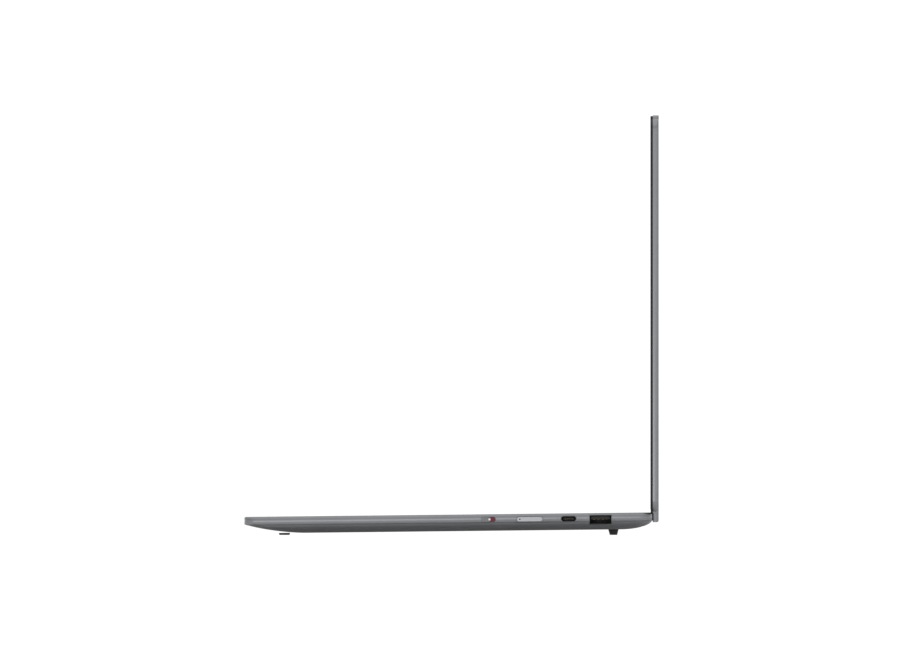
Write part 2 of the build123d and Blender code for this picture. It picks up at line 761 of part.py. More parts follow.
def lid_back_cover():
    """The metal lid: a shallow tray with a solid strip along its lower edge."""
    cover = panel(-half_lid, half_lid, lid_corner_lift, lid_edge, shell_plane, lid_back_plane,
                  lid_corner_radius)
    strip = block(-strip_half, strip_half, shell_plane, lid_back_plane, -strip_drop,
                  lid_corner_lift + 8)
    cover = cover + strip
    back = cover.faces().sort_by(Axis.Y)[-1]
    cover = fillet(back.edges(), lid_edge_radius)
    tray = panel(-half_lid + lid_rim, half_lid - lid_rim, glass_start + 4.2, lid_edge - lid_rim,
                 shell_plane - 1, lid_back_plane - lid_back_skin, 3)
    cover = cover - tray
    pockets = both_sides(block(hinge_x - 9.1, hinge_x + 9.1, shell_plane - 1,
                               shell_plane + 1.85, -1.9, 8.6))
    notch_for_bar = block(-bar_half, bar_half, shell_plane - 1, lid_back_plane + 1,
                          lid_edge - lid_rim - 0.1, lid_edge + 1)
    return cover - pockets - notch_for_bar


def camera_bar():
    """The raised bar on the top edge that holds the camera."""
    bar = panel(-bar_half, bar_half, lid_edge - lid_rim - 0.1, lid_top, shell_plane,
                lid_back_plane, 2.0)
    lower = block(-bar_half, bar_half, shell_plane, lid_back_plane, lid_edge - lid_rim - 0.1,
                  lid_edge - lid_rim + 2)
    bar = bar + lower
    return bar


def black_outline(inset, y0, y1):
    """The black layer's shape, drawn in by an inset, with its tab over the camera bar."""
    edge = bezel_inset + inset
    main = panel(-half_lid + edge, half_lid - edge, glass_start + inset, lid_edge - edge, y0, y1,
                 lid_corner_radius - edge)
    tab = panel(-bar_half + edge, bar_half - edge, lid_edge - 12, lid_top - edge - 0.1, y0, y1,
                2.2 - inset)
    return main + tab


def display_glass():
    return black_outline(gasket_width + seat, display_plane, bezel_plane)


def lid_gasket():
    """A rubber rim round the glass, which meets the deck when the lid is closed."""
    front = display_plane - gasket_rise
    rim = black_outline(0.0, front, bezel_plane)
    return rim - black_outline(gasket_width, front - 1, bezel_plane + 1)


def display_bezel():
    """A thin black frame between glass and metal, round the panel."""
    ring = black_outline(0.0, bezel_plane, shell_plane)
    opening = block(-panel_width / 2 - 0.2, panel_width / 2 + 0.2, bezel_plane - 1,
                    shell_plane + 1, panel_start - 0.2, panel_start + panel_height + 0.2)
    camera = block(-8.3, 8.3, bezel_plane - 1, shell_plane + 1, camera_z - 2.3, camera_z + 2.3)
    return ring - opening - camera


def display_panel():
    return block(-panel_width / 2, panel_width / 2, bezel_plane, bezel_plane + panel_thickness,
                 panel_start, panel_start + panel_height)


camera_z = (panel_start + panel_height + 0.2 + lid_edge - lid_rim) / 2 + 0.3


def camera_module():
    """A small board with the camera's lens barrel."""
    board = block(-8, 8, bezel_plane + 0.9, bezel_plane + 2.4, camera_z - 2, camera_z + 2)
    barrel = Pos(0, bezel_plane + 0.55, camera_z) * Rot(90, 0, 0) * Cylinder(1.7, 1.1)
    return board + barrel


def display_cable():
    """A flat cable behind the lower edge of the panel."""
    return block(-60, -30, bezel_plane + panel_thickness, bezel_plane + panel_thickness + 0.25,
                 10.0, 34.0)


# ---------------------------------------------------------------- write the nodes
def main():
    os.makedirs("parts", exist_ok=True)
    base_nodes = {
        "top_case": top_case(),
        "bottom_cover": bottom_cover(),
        "bottom_screws": bottom_screws(),
        "keyboard_frame": keyboard_tray(),
        "key_membrane": key_membrane(),
        "touchpad_plate": touchpad_plate(),
        "touchpad_frame": touchpad_frame(),
        "mainboard": mainboard(),
        "processor_package": on_board(-14, 14, 36, 60, 1.2),
        "memory_chips": [on_board(x, x + 11, 14, 27, 1.0) for x in (-30, -16, 5, 19)],
        "heat_pipes": heat_pipes(),
        "fan_housings": fan_housing(),
        "fin_stacks": fin_stacks(),
        "battery_pack": battery_pack(),
        "ssd_module": on_board(-66, -44, 2, 44, 1.9),
        "wireless_card": on_board(44, 66, 4, 34, 1.7),
        "speakers": speakers(),
        "right_type_c_socket": pill_socket(1, type_c_y, type_c_drop),
        "right_type_a_socket": box_socket(1, type_a_y, type_a_drop, type_a_size, -1.0, 1.8),
        "left_type_c_sockets": [pill_socket(-1, y, left_drop) for y in left_c_ys],
        "left_video_socket": box_socket(-1, video_y, left_drop, video_size, 0.0, 1.4),
        "headphone_jack": headphone_jack(),
        "power_button": power_button(),
        "shutter_slider": shutter_slider(),
        "shutter_mark": shutter_mark(),
        "charge_light": charge_light(),
        "hinge_brackets": hinge_bracket(),
        "hinge_pins": hinge_pin(),
        "rear_vent_grille": rear_vent_grille(),
    }
    impeller = fan_impeller()
    base_nodes["left_fan_impeller"] = Pos(-fan_x, fan_y, 0) * impeller
    base_nodes["right_fan_impeller"] = Pos(fan_x, fan_y, 0) * impeller
    base_nodes.update(keys())
    lid_nodes = {
        "hinge_arms": hinge_arm(),
        "lid_back_cover": lid_back_cover(),
        "camera_bar": camera_bar(),
        "display_glass": display_glass(),
        "display_bezel": display_bezel(),
        "display_panel": display_panel(),
        "camera_module": camera_module(),
        "lid_gasket": lid_gasket(),
        "display_cable": display_cable(),
    }
    for nodes, place in ((base_nodes, on_base), (lid_nodes, on_lid)):
        for name, shape in nodes.items():
            if isinstance(shape, (list, tuple)):
                save(name, [place(item) for item in shape])
            else:
                save(name, place(shape))
    save("front_foot", foot(front_foot_y, front_foot_top, front_foot_bottom, front_foot_short))
    save("rear_foot", foot(rear_foot_y, rear_foot_top, rear_foot_bottom, rear_foot_short))
    print("hinge axis", round(hinge_y, 3), round(hinge_z, 3), "lid top", round(hinge_z + lid_top, 2))
    print("deck normal", 0, round(-sin(tilt), 5), round(cos(tilt), 5))


main()
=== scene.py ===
# %% [markdown]
# # A grey clamshell laptop
# The laptop stands open on a white table, its lid almost upright. Its shape was drawn
# first as solids, one for each part that a factory would make. This lesson keeps those
# solids as a fixed frame, gives each one the finish of its real material, and adds what
# a solid modeller leaves plain: soft key caps with their letters, the web between the
# keys, pierced speaker grilles, screws, contacts and the camera's window.

# %% The tools, and an empty room
import json
import math

import bmesh
import bpy
from mathutils import Matrix, Vector

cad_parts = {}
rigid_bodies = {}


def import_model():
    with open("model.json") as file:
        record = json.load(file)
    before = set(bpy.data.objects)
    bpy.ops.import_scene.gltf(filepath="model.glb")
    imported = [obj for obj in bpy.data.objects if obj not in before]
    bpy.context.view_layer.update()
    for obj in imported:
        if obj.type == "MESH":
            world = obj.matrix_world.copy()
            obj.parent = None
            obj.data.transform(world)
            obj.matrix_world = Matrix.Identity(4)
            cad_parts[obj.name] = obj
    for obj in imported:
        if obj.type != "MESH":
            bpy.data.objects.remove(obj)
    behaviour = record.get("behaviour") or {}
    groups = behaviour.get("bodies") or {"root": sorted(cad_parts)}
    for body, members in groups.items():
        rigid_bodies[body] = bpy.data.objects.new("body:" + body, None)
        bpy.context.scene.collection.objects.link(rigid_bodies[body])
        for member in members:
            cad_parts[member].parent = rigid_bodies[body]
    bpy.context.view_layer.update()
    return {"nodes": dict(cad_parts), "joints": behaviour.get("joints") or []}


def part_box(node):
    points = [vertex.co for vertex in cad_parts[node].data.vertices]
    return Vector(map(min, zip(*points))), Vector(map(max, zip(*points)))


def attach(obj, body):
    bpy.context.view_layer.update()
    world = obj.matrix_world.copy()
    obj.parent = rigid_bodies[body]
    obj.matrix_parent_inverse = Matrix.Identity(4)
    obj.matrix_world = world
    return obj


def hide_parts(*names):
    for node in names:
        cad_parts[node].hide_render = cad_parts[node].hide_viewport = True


for leftover in list(bpy.data.objects):
    bpy.data.objects.remove(leftover)
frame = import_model()

# %% [markdown]
# The base leans: its rear foot is taller, so the deck rises towards the back by a little
# over half a degree. Keys, grilles and screws are easiest to draw as if the deck were
# level, in millimetres, with y rearwards from the front tip and z up from the deck. One
# matrix then sets such a drawing in its place. A key moves straight down into the deck,
# so the direction of any key's joint gives the deck's tilt.

# %% The deck's own axes, and the lid's
MM = 0.001
joints = {joint["name"]: joint for joint in frame["joints"]}
deck_up = -Vector(joints["space_bar_press"]["axis"]).normalized()
rearward = deck_up.cross(Vector((1, 0, 0)))
case_points = [v.co for v in frame["nodes"]["top_case"].data.vertices]
front_tip = rearward * min(p.dot(rearward) for p in case_points)
deck_level = deck_up * max(p.dot(deck_up) for p in case_points)
deck = Matrix.Translation(front_tip + deck_level) @ Matrix(
    (Vector((1, 0, 0)), rearward, deck_up)).transposed().to_4x4() @ Matrix.Scale(MM, 4)
hinge_axis = Vector(joints["lid_hinge"]["pos_m"])
lid = Matrix.Translation(hinge_axis) @ Matrix.Scale(MM, 4)
print("deck tilt", round(math.degrees(math.asin(rearward.z)), 3), "degrees")

# %% [markdown]
# The camera looks straight at the laptop's right side, level with the middle of the lid.
# A long lens far away shows no perspective, so the camera is orthographic, and its scale
# is the width of what it sees, in metres. The floor is seen exactly edge-on. The matrix
# turns the camera, which looks down its own z axis, to look along the laptop's width.

# %% The camera
view_width = 0.5198
eye_place = (1.5, -0.00087, 0.12125)
side_camera = bpy.data.cameras.new("side_camera")
side_camera.type = "ORTHO"
side_camera.ortho_scale = view_width
eye = bpy.data.objects.new("side_camera", side_camera)
bpy.context.scene.collection.objects.link(eye)
looking_left = Matrix(((0, 0, 1, 0), (1, 0, 0, 0), (0, 1, 0, 0), (0, 0, 0, 1)))
eye.matrix_world = Matrix.Translation(eye_place) @ looking_left
bpy.context.scene.camera = eye
print("the camera sees", view_width, "m across")

# %% [markdown]
# Every finish below is a small net of nodes. Colours are written as the hex codes that a
# paint chart gives, and the renderer wants linear light, so one function converts them.
# Another adds a node and plugs it in, and a third starts a finish with the plain shader's
# fixed numbers.

# %% Three helpers for finishes
def linear(code):
    """An sRGB hex colour as linear red, green, blue and alpha."""
    parts = [int(code[i:i + 2], 16) / 255 for i in (1, 3, 5)]
    return [c / 12.92 if c <= 0.04045 else ((c + 0.055) / 1.055) ** 2.4 for c in parts] + [1]


def add_node(tree, kind, values=(), links=(), **settings):
    """Adds a node, sets it up, gives its sockets their values and plugs in its links."""
    node = tree.nodes.new(kind)
    for name, setting in settings.items():
        setattr(node, name, setting)
    for socket, value in dict(values).items():
        node.inputs[socket].default_value = value
    for socket, source in dict(links).items():
        tree.links.new(source, node.inputs[socket])
    return node


def start_finish(name, colour, roughness, metallic=0.0, **sockets):
    """A new material, its node tree and its shader, with the shader's fixed numbers."""
    finish = bpy.data.materials.new(name)
    finish.use_nodes = True
    shader = finish.node_tree.nodes["Principled BSDF"]
    shader.inputs["Base Color"].default_value = linear(colour)
    shader.inputs["Roughness"].default_value = roughness
    shader.inputs["Metallic"].default_value = metallic
    for socket, value in sockets.items():
        shader.inputs[socket.replace("_", " ")].default_value = value
    return finish, finish.node_tree, shader


print("half grey is", round(linear("#808080")[0], 3), "in linear light")

# %% [markdown]
# Three things make a manufactured surface look real at this scale: its grain, a slight
# unevenness of colour, and a slight unevenness of polish from handling. The same net
# serves most finishes with different numbers, all worked out from real sizes. A blasting
# bead leaves a dimple of about 0.1 mm, which is too fine to show here, so grain is drawn
# two or three times as coarse as it is.

# %% Grain, tone and polish
def grain(tree, shader, size_mm, depth_mm, strength=1.0, stretch=(1, 1, 1)):
    """Fine relief of that size and depth, from a noise in the object's own space."""
    place = add_node(tree, "ShaderNodeTexCoord")
    spread = add_node(tree, "ShaderNodeMapping", {"Scale": stretch},
                      {"Vector": place.outputs["Object"]})
    noise = add_node(tree, "ShaderNodeTexNoise",
                     {"Scale": 1 / (size_mm * MM), "Detail": 2.0, "Roughness": 0.6},
                     {"Vector": spread.outputs["Vector"]})
    bump = add_node(tree, "ShaderNodeBump", {"Strength": strength, "Distance": depth_mm * MM},
                    {"Height": noise.outputs["Fac"]})
    tree.links.new(bump.outputs["Normal"], shader.inputs["Normal"])
    return bump


def uneven(tree, shader, dark, light, smooth, rough, size_mm=18):
    """Slow changes of colour and polish across the surface, as hands and ovens leave."""
    place = add_node(tree, "ShaderNodeTexCoord")
    cloud = add_node(tree, "ShaderNodeTexNoise",
                     {"Scale": 1 / (size_mm * MM), "Detail": 3.0, "Roughness": 0.55},
                     {"Vector": place.outputs["Object"]})
    tone = add_node(tree, "ShaderNodeMix", links={"Factor": cloud.outputs["Fac"]},
                    data_type="RGBA")
    # A Mix node keeps a socket for each data type, so its colour pair is set by index.
    tone.inputs[6].default_value, tone.inputs[7].default_value = linear(dark), linear(light)
    tree.links.new(tone.outputs[2], shader.inputs["Base Color"])
    polish = add_node(tree, "ShaderNodeMapRange", {"To Min": smooth, "To Max": rough},
                      {"Value": cloud.outputs["Fac"]})
    tree.links.new(polish.outputs["Result"], shader.inputs["Roughness"])


# %% [markdown]
# The case is machined aluminium, blasted with glass beads and then anodised grey. The
# blasting scatters a highlight softly, and the dye sits in a clear oxide layer, so the
# metal is still a metal, only darker. It could be a plain grey paint, but paint has no
# bright band along a wall, and this metal does. The band comes from a slight crown. The
# solids' walls are flat, so the crown is a bump here: a parabola along one direction.

# %% The grey metal
def blasted_aluminium(name, direction, start, crown_at, crown_from, crown_radius):
    """Grey metal whose narrow walls are crowned: their height falls off either side of
    crown_at, measured in mm along direction from start, and not beyond crown_from."""
    finish, tree, shader = start_finish(name, "#8f9093", 0.3, 1.0)
    uneven(tree, shader, "#8b8c8f", "#949598", 0.27, 0.33)
    fine = grain(tree, shader, size_mm=0.25, depth_mm=0.004, strength=0.5)
    place = add_node(tree, "ShaderNodeTexCoord")
    along = add_node(tree, "ShaderNodeVectorMath", {1: direction},
                     {0: place.outputs["Object"]}, operation="DOT_PRODUCT")
    inside = add_node(tree, "ShaderNodeMath", {1: start + crown_from * MM},
                      {0: along.outputs["Value"]}, operation="MAXIMUM")
    offset = add_node(tree, "ShaderNodeMath", {1: start + crown_at * MM},
                      {0: inside.outputs[0]}, operation="SUBTRACT")
    square = add_node(tree, "ShaderNodeMath", links={0: offset.outputs[0], 1: offset.outputs[0]},
                      operation="MULTIPLY")
    fall = add_node(tree, "ShaderNodeMath", {1: -1 / (2 * crown_radius * MM)},
                    {0: square.outputs[0]}, operation="MULTIPLY")
    crown = add_node(tree, "ShaderNodeBump", {"Strength": 1.0, "Distance": 1.0},
                     {"Height": fall.outputs[0]})
    tree.links.new(crown.outputs["Normal"], fine.inputs["Normal"])
    return finish


# The case's walls catch a soft bright band just under the deck, and dim below it.
case_metal = blasted_aluminium("bead_blasted_case_aluminium", deck_up, deck_level.dot(deck_up),
                               crown_at=-2.8, crown_from=-5.2, crown_radius=4.5)
# The lid's thin walls shine along the middle, so its edge reads as rounded.
lid_metal = blasted_aluminium("bead_blasted_lid_aluminium", (0, 1, 0), hinge_axis.y,
                              crown_at=5.0, crown_from=3.8, crown_radius=5.0)

# Undyed anodising is paler: the long button stands out from the wall round it.
bright_metal, tree, shader = start_finish("light_anodised_aluminium", "#a9aaad", 0.35, 1.0)
grain(tree, shader, size_mm=0.25, depth_mm=0.003, strength=0.5)
uneven(tree, shader, "#a8a9ac", "#aeafb2", 0.32, 0.38, size_mm=6)
print("three kinds of anodised aluminium")

# %% [markdown]
# The plastics and rubbers differ less in colour than in how they were made. A mould that
# was spark-eroded leaves a fine pebble, a film comes off a roller smooth but wavy, and
# rubber is the dullest of all. Each could be one dark colour, but then keys, foot and
# seal would look like one material, so each has its own grain, from its real size in
# millimetres, and its own range of polish.

# %% Plastics, rubber and films
# ABS with a soft coat: a broad, faint sheen that fingers have polished in places.
key_plastic, tree, shader = start_finish("silky_dark_key_plastic", "#2c2d30", 0.5)
grain(tree, shader, size_mm=0.2, depth_mm=0.006, strength=0.6)
uneven(tree, shader, "#292a2d", "#303134", 0.42, 0.56, size_mm=9)

# Moulded ABS, grey right through: a dull pebble that hides scratches.
grey_plastic, tree, shader = start_finish("moulded_grey_plastic", "#87888b", 0.5)
grain(tree, shader, size_mm=0.2, depth_mm=0.008, strength=0.6)
uneven(tree, shader, "#828386", "#8c8d90", 0.45, 0.6, size_mm=5)

# Glass-filled nylon: black, with a slightly coarser pebble and a grey bloom.
black_plastic, tree, shader = start_finish("moulded_black_plastic", "#1b1b1d", 0.5)
grain(tree, shader, size_mm=0.3, depth_mm=0.012, strength=0.7)
uneven(tree, shader, "#18181a", "#202022", 0.42, 0.58, size_mm=12)

# Silicone rubber for the feet: matt dark grey, with almost no highlight.
rubber, tree, shader = start_finish("moulded_dark_rubber", "#5a5a5c", 0.7)
grain(tree, shader, size_mm=0.35, depth_mm=0.02, strength=0.8)
uneven(tree, shader, "#565658", "#606062", 0.62, 0.78, size_mm=8)

# Soft thermoplastic rubber round the glass: a thin line of near black.
seal_rubber, tree, shader = start_finish("soft_black_seal_rubber", "#131314", 0.65)
grain(tree, shader, size_mm=0.3, depth_mm=0.01, strength=0.6)
uneven(tree, shader, "#111112", "#171718", 0.58, 0.72, size_mm=8)

# Polyester film: smooth, with long shallow waves where it isn't held down.
film, tree, shader = start_finish("black_polyester_film", "#151517", 0.3)
grain(tree, shader, size_mm=4, depth_mm=0.05, strength=0.4)
uneven(tree, shader, "#131315", "#1a1a1c", 0.25, 0.38, size_mm=15)

# The cells' shrink wrap: a little softer than the film, and more puckered.
battery_wrap, tree, shader = start_finish("black_battery_wrap", "#18181b", 0.42)
grain(tree, shader, size_mm=6, depth_mm=0.12, strength=0.5)
uneven(tree, shader, "#151518", "#1f1f23", 0.35, 0.5, size_mm=20)

# Epoxy with glass powder: a dry, slightly sandy black.
chip_resin, tree, shader = start_finish("moulded_chip_resin", "#19191b", 0.6)
grain(tree, shader, size_mm=0.15, depth_mm=0.006, strength=0.7)
uneven(tree, shader, "#161618", "#202023", 0.55, 0.68, size_mm=4)
print("eight plastics, rubbers and films")

# %% [markdown]
# The metals inside keep their own colour, because none is dyed. What tells them apart is
# the way they were worked: a rolled sheet has long faint lines, a ground pin has rings,
# a drawn pipe has lines along it, and plating softens whatever is beneath. A stretched
# noise gives such lines. The stretch is a scale below one along the line.

# %% Sheet steel, plated steel and copper
# Cold-rolled steel: cool grey with fine lines from the rolls.
sheet_steel, tree, shader = start_finish("pressed_sheet_steel", "#a9a9a8", 0.38, 1.0)
grain(tree, shader, size_mm=0.8, depth_mm=0.01, strength=0.5, stretch=(0.08, 1, 1))
uneven(tree, shader, "#a2a2a1", "#b2b2b1", 0.32, 0.45, size_mm=10)

# Centreless-ground steel: the brightest metal here, with sharp small highlights.
pin_steel, tree, shader = start_finish("ground_hinge_steel", "#b9b9ba", 0.22, 1.0)
grain(tree, shader, size_mm=0.4, depth_mm=0.003, strength=0.5, stretch=(1, 0.1, 0.1))
uneven(tree, shader, "#b4b4b5", "#c0c0c1", 0.18, 0.28, size_mm=5)

# Black zinc on steel: dark, but still a metal, so its edges glint.
screw_steel, tree, shader = start_finish("black_zinc_screw_steel", "#3a3a3c", 0.36, 1.0)
grain(tree, shader, size_mm=0.3, depth_mm=0.004, strength=0.6)
uneven(tree, shader, "#343436", "#434346", 0.3, 0.45, size_mm=2)

# Nickel on folded steel: a warm, slightly cloudy grey in the sockets' mouths.
socket_metal, tree, shader = start_finish("nickel_plated_socket_steel", "#7d7d80", 0.4, 1.0)
grain(tree, shader, size_mm=0.5, depth_mm=0.004, strength=0.5, stretch=(0.2, 1, 1))
uneven(tree, shader, "#77777a", "#858588", 0.34, 0.46, size_mm=3)

# Drawn copper, a little tarnished: the orange varies along the pipe.
copper, tree, shader = start_finish("drawn_copper_pipe", "#b87858", 0.35, 1.0)
grain(tree, shader, size_mm=0.6, depth_mm=0.004, strength=0.5, stretch=(0.1, 1, 1))
uneven(tree, shader, "#a96a4b", "#c48667", 0.28, 0.42, size_mm=12)

# A thin gold plate on the contacts: tiny warm lines against the black.
gold, tree, shader = start_finish("gold_plated_contact", "#d9a94e", 0.28, 1.0)
grain(tree, shader, size_mm=0.2, depth_mm=0.002, strength=0.4)
uneven(tree, shader, "#d2a145", "#e0b25a", 0.22, 0.34, size_mm=2)
print("six metals from inside")

# %% [markdown]
# The last group is glass, clear plastic and print. Clear parts here are small and have
# something grey behind them, so they aren't made see-through: a plain surface with the
# refractive index of glass or acrylic reflects as they do, and it costs far less to
# render. Print is a thin, flat layer, so it gets the least relief of all.

# %% Glass, screen, board and lights
# Etched soda glass: as grey as the deck, but with a silkier, more even shine.
touch_glass, tree, shader = start_finish("etched_grey_glass", "#808185", 0.38, 0.0, IOR=1.5)
grain(tree, shader, size_mm=0.15, depth_mm=0.002, strength=0.4)
uneven(tree, shader, "#7d7e82", "#838488", 0.36, 0.41, size_mm=25)

# The polariser: a deep black that is smooth and faintly blue.
panel_film, tree, shader = start_finish("screen_polariser_film", "#0b0c0e", 0.2)
grain(tree, shader, size_mm=0.3, depth_mm=0.001, strength=0.3)
uneven(tree, shader, "#0a0b0d", "#0d0e10", 0.18, 0.24, size_mm=60)

# Green lacquer over copper tracks: it dips and rises a hair between them.
solder_mask, tree, shader = start_finish("green_solder_mask", "#1d5a3c", 0.35)
grain(tree, shader, size_mm=1.1, depth_mm=0.02, strength=0.6)
uneven(tree, shader, "#184f34", "#236645", 0.3, 0.42, size_mm=3)

# Acrylic, unlit: a pale grey with a small clean highlight.
light_guide, tree, shader = start_finish("clear_light_guide", "#8d8e92", 0.25, 0.0, IOR=1.49)
grain(tree, shader, size_mm=0.3, depth_mm=0.004, strength=0.4)
uneven(tree, shader, "#88898d", "#95969a", 0.2, 0.32, size_mm=2)

# Pad-printed ink: a dark red, flatter than the plastic round it.
red_print, tree, shader = start_finish("printed_dark_red", "#7a2038", 0.42)
grain(tree, shader, size_mm=0.15, depth_mm=0.004, strength=0.5)
uneven(tree, shader, "#701c32", "#84253f", 0.38, 0.48, size_mm=1)

# Painted highlight: glossy white that stands in for the glint at the shutter switch's rear end,
# the brightest spot on the wall.
painted_glint_finish, tree, shader = start_finish("glossy_painted_glint", "#fdf6f9", 0.25)
grain(tree, shader, size_mm=0.15, depth_mm=0.002, strength=0.3)
uneven(tree, shader, "#fbf2f6", "#fffbfd", 0.22, 0.3, size_mm=1)

# Smoked acrylic: nearly black until the light behind it is on.
smoked_lens, tree, shader = start_finish("smoked_light_window", "#1c1c1f", 0.2, 0.0, IOR=1.49)
grain(tree, shader, size_mm=0.15, depth_mm=0.002, strength=0.3)
uneven(tree, shader, "#18181b", "#222226", 0.16, 0.26, size_mm=1)

# Laser-sealed white ink: light grey rather than white, and quite matt.
white_print, tree, shader = start_finish("printed_white_letter", "#c9cacc", 0.55)
grain(tree, shader, size_mm=0.15, depth_mm=0.003, strength=0.5)
uneven(tree, shader, "#c2c3c5", "#d0d1d3", 0.5, 0.62, size_mm=4)
print(len(bpy.data.materials), "materials so far, with the solids' own plain ones")

# %% [markdown]
# The screen's front is one sheet of glass, black all over while it is off. The part that
# lights up has a polarising film bonded behind it, so it looks a shade lighter and
# greyer than the printed black border, with a softer reflection. The border is only
# paint on the back of the glass. Both lie under the same smooth surface, so one finish
# does it, with a rectangle worked out from the panel's solid.

# %% The display glass
screen_glass, tree, shader = start_finish("black_display_glass", "#060607", 0.06, 0.0, IOR=1.5)
panel_low, panel_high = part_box("display_panel")
border_side, border_end = 3.4 * MM, 3.5 * MM
smear_size = 40 * MM
place = add_node(tree, "ShaderNodeTexCoord")
axes = add_node(tree, "ShaderNodeSeparateXYZ", links={"Vector": place.outputs["Object"]})
across = add_node(tree, "ShaderNodeMath", {1: 0.0, 2: panel_high.x - border_side},
                  {0: axes.outputs["X"]}, operation="COMPARE")
middle = (panel_low.z + panel_high.z) / 2
half_height = (panel_high.z - panel_low.z) / 2 - border_end
upward = add_node(tree, "ShaderNodeMath", {1: middle, 2: half_height},
                  {0: axes.outputs["Z"]}, operation="COMPARE")
lit_part = add_node(tree, "ShaderNodeMath",
                    links={0: across.outputs[0], 1: upward.outputs[0]}, operation="MULTIPLY")
tone = add_node(tree, "ShaderNodeMix", links={"Factor": lit_part.outputs[0]}, data_type="RGBA")
tone.inputs[6].default_value, tone.inputs[7].default_value = linear("#060607"), linear("#101216")
tree.links.new(tone.outputs[2], shader.inputs["Base Color"])
smears = add_node(tree, "ShaderNodeTexNoise", {"Scale": 1 / smear_size, "Detail": 3.0},
                  {"Vector": place.outputs["Object"]})
polish = add_node(tree, "ShaderNodeMapRange", {"To Min": 0.04, "To Max": 0.1},
                  {"Value": smears.outputs["Fac"]})
tree.links.new(polish.outputs["Result"], shader.inputs["Roughness"])
print("the picture is", round(2000 * (panel_high.x - border_side), 1), "by",
      round(2000 * half_height, 1), "mm")

# %% [markdown]
# Every solid says which finish it takes, by the name of its slot in the record. A table
# from those names to the finishes above dresses all sixty solids at once.

# %% Dress the solids
finish_of_slot = {
    "grey_anodised_aluminium": case_metal, "bright_anodised_aluminium": bright_metal,
    "grey_moulded_plastic": grey_plastic, "black_moulded_plastic": black_plastic,
    "grey_key_plastic": key_plastic, "black_screw_steel": screw_steel,
    "steel_sheet": sheet_steel, "hinge_steel": pin_steel, "socket_steel": socket_metal,
    "frosted_grey_glass": touch_glass, "black_display_glass": screen_glass,
    "black_display_panel": panel_film, "green_circuit_board": solder_mask,
    "black_chip_resin": chip_resin, "black_film": film, "black_battery_wrap": battery_wrap,
    "copper_pipe": copper, "clear_light_guide": light_guide,
    "red_printed_mark": red_print, "black_rubber": rubber,
}
for solid in frame["nodes"].values():
    for material_slot in solid.material_slots:
        material_slot.material = finish_of_slot[material_slot.material.name.split(".")[0]]
# A few parts don't look like the plain finish of their slot.
for name in ("lid_back_cover", "camera_bar"):
    frame["nodes"][name].material_slots[0].material = lid_metal
for name in ("lid_gasket", "display_bezel"):
    frame["nodes"][name].material_slots[0].material = seal_rubber
for name in ("hinge_arms", "hinge_brackets", "hinge_pins"):
    frame["nodes"][name].material_slots[0].material = screw_steel
print("dressed", len(frame["nodes"]), "solids in", len(finish_of_slot), "finishes")

# %% [markdown]
# New pieces are drawn in a bmesh, Blender's editable mesh, in millimetres. This function
# sets a finished drawing in its place on the laptop and makes it an object. The place
# goes into the mesh and the object stays at the origin, so that textures and the moving
# bodies both agree on where things are.

# %% From a drawing to a piece
def make_piece(name, drawing, place, finish, body, replaces=(), sharp=35):
    """Writes the drawing as a piece that moves with that body."""
    drawing.transform(place)
    mesh = bpy.data.meshes.new(name)
    drawing.to_mesh(mesh)
    drawing.free()
    mesh.shade_smooth()
    mesh.set_sharp_from_angle(angle=math.radians(sharp))
    mesh.materials.append(finish)
    piece = bpy.data.objects.new(name, mesh)
    bpy.context.scene.collection.objects.link(piece)
    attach(piece, body)
    if replaces:
        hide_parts(*replaces)
    return piece


def add_drawing(drawing, part):
    """Adds another drawing's shape to this one, and drops the other."""
    mesh = bpy.data.meshes.new("part")
    part.to_mesh(mesh)
    part.free()
    drawing.from_mesh(mesh)
    bpy.data.meshes.remove(mesh)


def rounded_slab(low, high, corner, segments=5, narrow=0.0):
    """A slab between two corners, rounded as seen from above, narrower at its top."""
    low, high = Vector(low), Vector(high)
    slab = bmesh.new()
    bmesh.ops.create_cube(slab, size=1, matrix=Matrix.LocRotScale(
        (low + high) / 2, None, high - low))
    upright = [e for e in slab.edges
               if (e.verts[0].co - e.verts[1].co).normalized().z ** 2 > 0.9]
    bmesh.ops.bevel(slab, geom=upright, offset=corner, segments=segments, profile=0.5,
                    affect="EDGES", material=-1)
    if narrow:
        size = high - low
        shrink = ((size.x - 2 * narrow) / size.x, (size.y - 2 * narrow) / size.y, 1)
        bmesh.ops.scale(slab, vec=shrink, space=Matrix.Translation(-(low + high) / 2),
                        verts=[v for v in slab.verts if v.co.z > (low.z + high.z) / 2])
    return slab


# %% [markdown]
# A row of keys is one solid in the frame, because its keys are alike. To work on one key
# the row's mesh is taken apart into islands, groups of points that edges join. The mesh
# came as loose triangles, so points in the same spot are merged first, in a copy.

# %% Where each key is
def islands(node):
    """The lowest and highest corner of each separate shape in a base node, in deck mm."""
    copy = bmesh.new()
    copy.from_mesh(frame["nodes"][node].data)
    copy.transform(deck.inverted())
    bmesh.ops.remove_doubles(copy, verts=copy.verts, dist=0.001)
    found, seen = [], set()
    for start in copy.verts:
        if start in seen:
            continue
        group, waiting = [], [start]
        seen.add(start)
        while waiting:
            point = waiting.pop()
            group.append(point.co.copy())
            for edge in point.link_edges:
                other = edge.other_vert(point)
                if other not in seen:
                    seen.add(other)
                    waiting.append(other)
        found.append((Vector([min(p[i] for p in group) for i in range(3)]),
                      Vector([max(p[i] for p in group) for i in range(3)])))
    copy.free()
    return sorted(found, key=lambda box: (round(box[0].x, 1), round(box[0].y, 1)))


key_nodes = [name for name in sorted(frame["nodes"]) if name + "_press" in joints
             and name not in ("touchpad", "power_button")]
keys = {node: islands(node) for node in key_nodes}
print(sum(len(boxes) for boxes in keys.values()), "keys in", len(keys), "groups")

